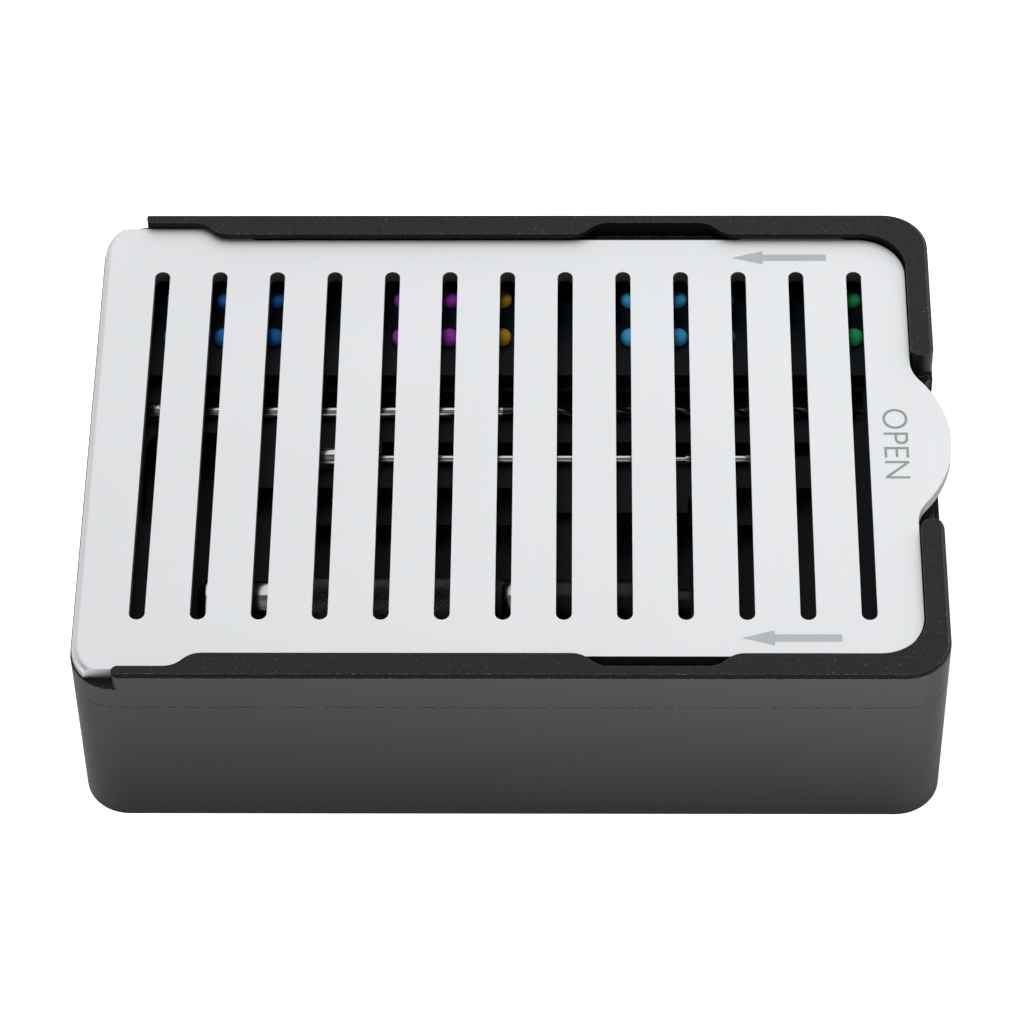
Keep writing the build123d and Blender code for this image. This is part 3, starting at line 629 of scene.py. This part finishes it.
lastLines = [g for g in twisted["geom_last"] if isinstance(g, bmesh.types.BMEdge)]
tipCorners = growRing(bit, lastLines, drill["tip"] * mm)[1]
bmesh.ops.pointmerge(bit, verts=tipCorners, merge_co=(high.x, drillMiddle.y, drillMiddle.z))
bmesh.ops.recalc_face_normals(bit, faces=bit.faces)
drillPiece = addPiece("twistDrill", bit, looks["handle_cap"], "case")
# a darker grey for the fluted end than for the shank
flutedLook = steel("highSpeedSteelDarkerFlutes", drill["fluteColour"], drill["fluteRough"], drill["fluteLine"])
drillPiece.data.materials.append(flutedLook)
for face in drillPiece.data.polygons:  # the fluted end is darker than the shank
    face.material_index = int(face.center.x > drill["plainEnd"] * mm)
drillPiece.data.set_sharp_from_angle(angle=math.radians(drill["sharpAbove"]))
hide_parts("drill_bit")
print("drill made")


# Arrows and the word on the lid: laser marks, a hair above the plate
marks = {
    "arrowColour": "#b4b7b9",
    "wordColour": "#97999b",
    "lift": 0.012,  # above the plate
    "thickness": 0.01,
    "backY": 43.25,  # middle lines of the two arrows
    "frontY": -43.65,
    "tipX": 39.5,
    "tailX": 56.55,
    "headLength": 5.6,
    "headHalf": 1.62,
    "shaftHalf": 0.78,
    "wordX": 65.3,  # foot of the letters
    "wordTop": 7.3,  # Y where the word begins and ends
    "wordBottom": -8.6,
    "wordHeight": 4.4,
    "thinner": -0.008,  # of the letter size, off each side of a stroke
}


# Laser mark annealed in the oxide: flat grey, duller than the plate
def laserMark(name, colour):
    look = {"spot": 0.3, "roughLeast": 0.5, "roughMost": 0.65, "metallic": 0.3}
    material = newMaterial(name)
    place = addNode(material, "ShaderNodeTexCoord")
    spots = addNode(material, "ShaderNodeTexNoise", links={"Vector": place.outputs["Object"]},
                    values={"Scale": 1 / (look["spot"] * mm)})
    rough = addNode(material, "ShaderNodeMapRange", links={"Value": spots.outputs["Fac"]},
                    values={"To Min": look["roughLeast"], "To Max": look["roughMost"]})
    shader = addNode(material, "ShaderNodeBsdfPrincipled", links={"Roughness": rough.outputs["Result"]},
                     values={"Base Color": toLinear(colour), "Metallic": look["metallic"]})
    return finishMaterial(material, shader)


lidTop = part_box("sliding_lid")[1].z
markTop = lidTop + marks["lift"] * mm
arrowGrey = laserMark("laserMarkPaleGrey", marks["arrowColour"])
for side, y in (("back", marks["backY"]), ("front", marks["frontY"])):
    arrow = bmesh.new()
    neckX = marks["tipX"] + marks["headLength"]
    outline = [(marks["tipX"], 0), (neckX, -marks["headHalf"]), (neckX, -marks["shaftHalf"]),
               (marks["tailX"], -marks["shaftHalf"]), (marks["tailX"], marks["shaftHalf"]),
               (neckX, marks["shaftHalf"]), (neckX, marks["headHalf"])]
    corners = [arrow.verts.new((x * mm, (y + dy) * mm, markTop)) for x, dy in outline]
    face = arrow.faces.new(corners)
    grown = bmesh.ops.extrude_face_region(arrow, geom=[face])
    bmesh.ops.translate(arrow, vec=(0, 0, -marks["thickness"] * mm),
                        verts=[v for v in grown["geom"] if isinstance(v, bmesh.types.BMVert)])
    bmesh.ops.recalc_face_normals(arrow, faces=arrow.faces)
    addPiece(side + "Arrow", arrow, arrowGrey, "lid", smooth=False)

wordCurve = bpy.data.curves.new("openWord", "FONT")
wordCurve.body = "OPEN"
wordCurve.size = 1.0
wordCurve.offset = marks["thinner"]
wordObject = bpy.data.objects.new("openWord", wordCurve)
scene.collection.objects.link(wordObject)
bpy.context.view_layer.update()
wordData = bpy.data.meshes.new_from_object(wordObject.evaluated_get(bpy.context.evaluated_depsgraph_get()))
bpy.data.objects.remove(wordObject)
word = bmesh.new()
word.from_mesh(wordData)
xs = [v.co.x for v in word.verts]
ys = [v.co.y for v in word.verts]
wordLength = marks["wordTop"] - marks["wordBottom"]
for v in word.verts:  # reads downward: letter height along +X, word length along -Y
    across = (v.co.y - min(ys)) / (max(ys) - min(ys))
    along = (v.co.x - min(xs)) / (max(xs) - min(xs))
    v.co = Vector(((marks["wordX"] + across * marks["wordHeight"]) * mm,
                   (marks["wordTop"] - along * wordLength) * mm, markTop))
bmesh.ops.remove_doubles(word, verts=word.verts, dist=mergeGap)
bmesh.ops.recalc_face_normals(word, faces=word.faces)
for wordFace in word.faces:
    if wordFace.normal.z < 0:
        wordFace.normal_flip()
wordGrey = laserMark("laserMarkGrey", marks["wordColour"])
addPiece("openWord", word, wordGrey, "lid", smooth=False)
print("marks made")


# Knurled grip: a cross knurl rolled into the handle, 1 mm from ridge to ridge, a little coarser than the
# real one so that it shows. A grid is rolled into a tube, and each corner goes in by the cut's depth there.
knurl = {
    "pitch": 1.0,
    "depth": 0.34,
    "perRidge": 4,  # corners for each ridge
    "plain": 0.8,  # the cut runs out towards each end of the grip
}
low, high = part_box("handle_grip")
gripRadius = (high.z - low.z) / 2
gripMiddle = (low + high) / 2
ridges = round(2 * math.pi * gripRadius / (knurl["pitch"] * mm))
around = ridges * knurl["perRidge"]
rows = round((high.x - low.x) / (knurl["pitch"] * mm)) * knurl["perRidge"]
grip = bmesh.new()
bmesh.ops.create_grid(grip, x_segments=rows, y_segments=around, size=0.5)
for v in grip.verts:
    lengthways = v.co.x + 0.5
    angle = (v.co.y + 0.5) * 2 * math.pi
    x = low.x + lengthways * (high.x - low.x)
    acrossPhase = angle / (2 * math.pi) * ridges
    alongPhase = lengthways * rows / knurl["perRidge"]
    first = abs((acrossPhase + alongPhase) % 1 - 0.5) * 2
    second = abs((acrossPhase - alongPhase) % 1 - 0.5) * 2
    runOut = min(x - low.x, high.x - x) / (knurl["plain"] * mm)
    cut = knurl["depth"] * mm * (1 - min(first, second)) * min(1, max(0, runOut))
    radius = gripRadius - cut
    v.co = Vector((x, gripMiddle.y + radius * math.cos(angle), gripMiddle.z + radius * math.sin(angle)))
bmesh.ops.remove_doubles(grip, verts=grip.verts, dist=mergeGap)
bmesh.ops.holes_fill(grip, edges=[e for e in grip.edges if e.is_boundary], sides=0)
bmesh.ops.recalc_face_normals(grip, faces=grip.faces)
knurledGrip = addPiece("knurledGrip", grip, looks["handle_grip"], "case", smooth=False)
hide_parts("handle_grip")
print("knurl cut")


# Polished collar round the start of the handle's dark sleeve
collar = {"length": 6.4, "proud": 0.12, "bevel": 0.3, "bevelSteps": 2, "segments": 48, "sharpAbove": 30}
low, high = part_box("handle_sleeve")
sleeveMiddle = (low + high) / 2
collarRadius = (high.z - low.z) / 2 + collar["proud"] * mm
collarMesh = bmesh.new()
collarPlace = Matrix.Translation((low.x + collar["length"] * mm / 2, sleeveMiddle.y, sleeveMiddle.z))
bmesh.ops.create_cone(collarMesh, cap_ends=True, segments=collar["segments"], radius1=collarRadius,
                      radius2=collarRadius, depth=collar["length"] * mm,
                      matrix=collarPlace @ Matrix.Rotation(math.pi / 2, 4, "Y"))
rims = [e for e in collarMesh.edges if any(len(f.verts) > 4 for f in e.link_faces)]  # edges of the two ends
bmesh.ops.bevel(collarMesh, geom=rims, offset=collar["bevel"] * mm, offset_type="OFFSET", affect="EDGES",
                segments=collar["bevelSteps"], profile=0.5, material=-1)
collarPiece = addPiece("polishedCollar", collarMesh, looks["handle_cap"], "case")
collarPiece.data.set_sharp_from_angle(angle=math.radians(collar["sharpAbove"]))
print("collar made")
